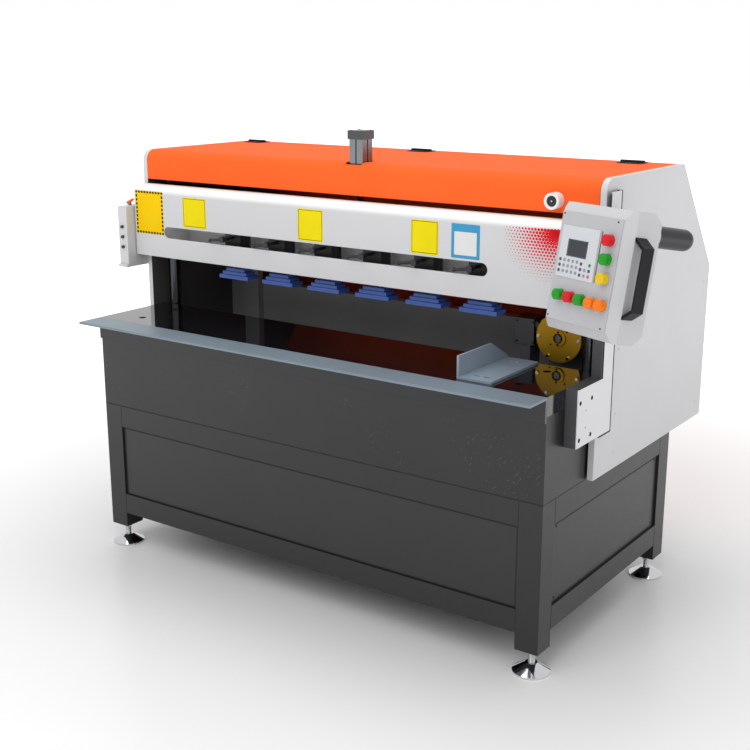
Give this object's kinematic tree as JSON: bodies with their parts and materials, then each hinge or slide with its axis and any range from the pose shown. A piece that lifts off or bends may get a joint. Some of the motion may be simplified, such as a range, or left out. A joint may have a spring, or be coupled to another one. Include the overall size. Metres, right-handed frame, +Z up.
{
  "type": "acrylic edge polisher",
  "caption": "Machine that clamps acrylic sheets on a granite table and trims and polishes their edges with a travelling cutter disc.",
  "frame": {"origin": "middle of the outer box at floor level", "axes": "+X along the table towards the console, +Y to the rear, +Z up"},
  "size_m": [2.2118, 1.271, 1.59],
  "materials": {
    "charcoal_paint": "satin powder coat",
    "foot_chrome": "polished",
    "black_granite": "polished, light veins",
    "blue_grey_profile": "satin",
    "white_paint": "satin powder coat",
    "orange_paint": "satin powder coat",
    "dark_steel": "satin",
    "guard_grey": "satin",
    "black_hinge": "satin",
    "white_plastic": "gloss",
    "light_aluminium": "satin",
    "hard_chrome": "ground",
    "rail_steel": "ground",
    "blue_plastic": "matte",
    "black_plastic": "matte",
    "carriage_iron": "painted",
    "gold_disc": "gold anodised",
    "arm_grey": "satin",
    "face_grey": "satin",
    "label_film": "matte film",
    "handle_black": "black anodised",
    "red_button": "gloss",
    "green_button": "gloss",
    "yellow_button": "gloss",
    "orange_button": "gloss"
  },
  "bodies": {
    "frame": {"base_frame": "charcoal_paint", "levelling_feet": "foot_chrome", "front_panel": "charcoal_paint", "infill_panels": "charcoal_paint", "deck_plate": "dark_steel", "marble_top": "black_granite", "marble_apron": "black_granite", "edge_profile": "blue_grey_profile", "support_plate": "white_paint", "spacer_block": "dark_steel", "left_housing": "white_paint", "right_housing": "white_paint", "rear_cover": "orange_paint", "hinge_fixed_leaves": "black_hinge", "top_crossbeam": "dark_steel", "guide_columns": "hard_chrome", "cylinder_body": "light_aluminium", "way_beam": "dark_steel", "linear_rails": "rail_steel", "rear_guard": "guard_grey", "pneumatic_box": "white_paint", "arm_bracket": "dark_steel"},
    "beam": {"pressing_beam": "light_aluminium", "beam_cover": "white_paint", "cylinder_rod": "hard_chrome"},
    "carriage": {"carriage": "carriage_iron", "spindle_motor": "light_aluminium", "dust_nozzle": "dark_steel"},
    "spindle": {"cutter_disc": "gold_disc", "cutter_inserts": "rail_steel"},
    "hood": {"hood": "orange_paint", "hinge_moving_leaves": "black_hinge", "hood_knob": "white_plastic"},
    "fence": {"fence": "blue_grey_profile"},
    "console": {"console_arm": "arm_grey", "console_hub": "white_paint", "console_box": "white_paint", "console_face": "face_grey", "control_panel": "label_film", "console_handle": "handle_black"},
    "pad_1": {"press_pad_1": "blue_plastic"},
    "lever_1": {"lock_lever_1": "black_plastic"},
    "pad_2": {"press_pad_2": "blue_plastic"},
    "lever_2": {"lock_lever_2": "black_plastic"},
    "pad_3": {"press_pad_3": "blue_plastic"},
    "lever_3": {"lock_lever_3": "black_plastic"},
    "pad_4": {"press_pad_4": "blue_plastic"},
    "lever_4": {"lock_lever_4": "black_plastic"},
    "pad_5": {"press_pad_5": "blue_plastic"},
    "lever_5": {"lock_lever_5": "black_plastic"},
    "pad_6": {"press_pad_6": "blue_plastic"},
    "lever_6": {"lock_lever_6": "black_plastic"},
    "button_body_1": {"button_1": "red_button"},
    "button_body_2": {"button_2": "green_button"},
    "button_body_3": {"button_3": "yellow_button"},
    "button_body_4": {"button_4": "green_button"},
    "button_body_5": {"button_5": "red_button"},
    "button_body_6": {"button_6": "green_button"},
    "button_body_7": {"button_7": "orange_button"},
    "button_body_8": {"button_8": "orange_button"}
  },
  "joints": [
    {"name": "beam_press", "type": "slide", "parent": "frame", "child": "beam", "axis": [0, 0, -1], "range_m": [0, 0.07]},
    {"name": "carriage_feed", "type": "slide", "parent": "frame", "child": "carriage", "axis": [-1, 0, 0], "range_m": [0, 1.45]},
    {"name": "spindle_spin", "type": "hinge", "parent": "carriage", "child": "spindle", "pos_m": [0.62406, -0.0935, 0.955], "axis": [0, 1, 0], "continuous": true},
    {"name": "hood_hinge", "type": "hinge", "parent": "frame", "child": "hood", "pos_m": [-0.10994, 0.2805, 1.492], "axis": [-1, 0, 0], "range_deg": [0, 80]},
    {"name": "fence_adjust", "type": "slide", "parent": "frame", "child": "fence", "axis": [1, 0, 0], "range_m": [-0.022, 0.022]},
    {"name": "console_swing", "type": "hinge", "parent": "frame", "child": "console", "pos_m": [0.89606, -0.2185, 1.33053], "axis": [0, 0, 1], "range_deg": [0, 80]},
    {"name": "pad_slide_1", "type": "slide", "parent": "beam", "child": "pad_1", "axis": [1, 0, 0], "range_m": [-0.25, 0.03]},
    {"name": "lever_turn_1", "type": "hinge", "parent": "pad_1", "child": "lever_1", "pos_m": [-0.60694, -0.3315, 1.193], "axis": [0, 1, 0], "range_deg": [-15, 75]},
    {"name": "pad_slide_2", "type": "slide", "parent": "beam", "child": "pad_2", "axis": [1, 0, 0], "range_m": [-0.03, 0.03]},
    {"name": "lever_turn_2", "type": "hinge", "parent": "pad_2", "child": "lever_2", "pos_m": [-0.40054, -0.3315, 1.193], "axis": [0, 1, 0], "range_deg": [-15, 75]},
    {"name": "pad_slide_3", "type": "slide", "parent": "beam", "child": "pad_3", "axis": [1, 0, 0], "range_m": [-0.03, 0.03]},
    {"name": "lever_turn_3", "type": "hinge", "parent": "pad_3", "child": "lever_3", "pos_m": [-0.19414, -0.3315, 1.193], "axis": [0, 1, 0], "range_deg": [-15, 75]},
    {"name": "pad_slide_4", "type": "slide", "parent": "beam", "child": "pad_4", "axis": [1, 0, 0], "range_m": [-0.03, 0.03]},
    {"name": "lever_turn_4", "type": "hinge", "parent": "pad_4", "child": "lever_4", "pos_m": [0.01226, -0.3315, 1.193], "axis": [0, 1, 0], "range_deg": [-15, 75]},
    {"name": "pad_slide_5", "type": "slide", "parent": "beam", "child": "pad_5", "axis": [1, 0, 0], "range_m": [-0.03, 0.03]},
    {"name": "lever_turn_5", "type": "hinge", "parent": "pad_5", "child": "lever_5", "pos_m": [0.21866, -0.3315, 1.193], "axis": [0, 1, 0], "range_deg": [-15, 75]},
    {"name": "pad_slide_6", "type": "slide", "parent": "beam", "child": "pad_6", "axis": [1, 0, 0], "range_m": [-0.03, 0.03]},
    {"name": "lever_turn_6", "type": "hinge", "parent": "pad_6", "child": "lever_6", "pos_m": [0.42506, -0.3315, 1.193], "axis": [0, 1, 0], "range_deg": [-15, 75]},
    {"name": "button_press_1", "type": "slide", "parent": "console", "child": "button_body_1", "axis": [0.3659, 0.9149, -0.1702], "range_m": [0, 0.004], "stiffness_N_per_m": 500, "springref_m": -0.002},
    {"name": "button_press_2", "type": "slide", "parent": "console", "child": "button_body_2", "axis": [0.3659, 0.9149, -0.1702], "range_m": [0, 0.004], "stiffness_N_per_m": 500, "springref_m": -0.002},
    {"name": "button_press_3", "type": "slide", "parent": "console", "child": "button_body_3", "axis": [0.3659, 0.9149, -0.1702], "range_m": [0, 0.004], "stiffness_N_per_m": 500, "springref_m": -0.002},
    {"name": "button_press_4", "type": "slide", "parent": "console", "child": "button_body_4", "axis": [0.3659, 0.9149, -0.1702], "range_m": [0, 0.004], "stiffness_N_per_m": 500, "springref_m": -0.002},
    {"name": "button_press_5", "type": "slide", "parent": "console", "child": "button_body_5", "axis": [0.3659, 0.9149, -0.1702], "range_m": [0, 0.004], "stiffness_N_per_m": 500, "springref_m": -0.002},
    {"name": "button_press_6", "type": "slide", "parent": "console", "child": "button_body_6", "axis": [0.3659, 0.9149, -0.1702], "range_m": [0, 0.004], "stiffness_N_per_m": 500, "springref_m": -0.002},
    {"name": "button_press_7", "type": "slide", "parent": "console", "child": "button_body_7", "axis": [0.3659, 0.9149, -0.1702], "range_m": [0, 0.004], "stiffness_N_per_m": 500, "springref_m": -0.002},
    {"name": "button_press_8", "type": "slide", "parent": "console", "child": "button_body_8", "axis": [0.3659, 0.9149, -0.1702], "range_m": [0, 0.004], "stiffness_N_per_m": 500, "springref_m": -0.002}
  ]
}
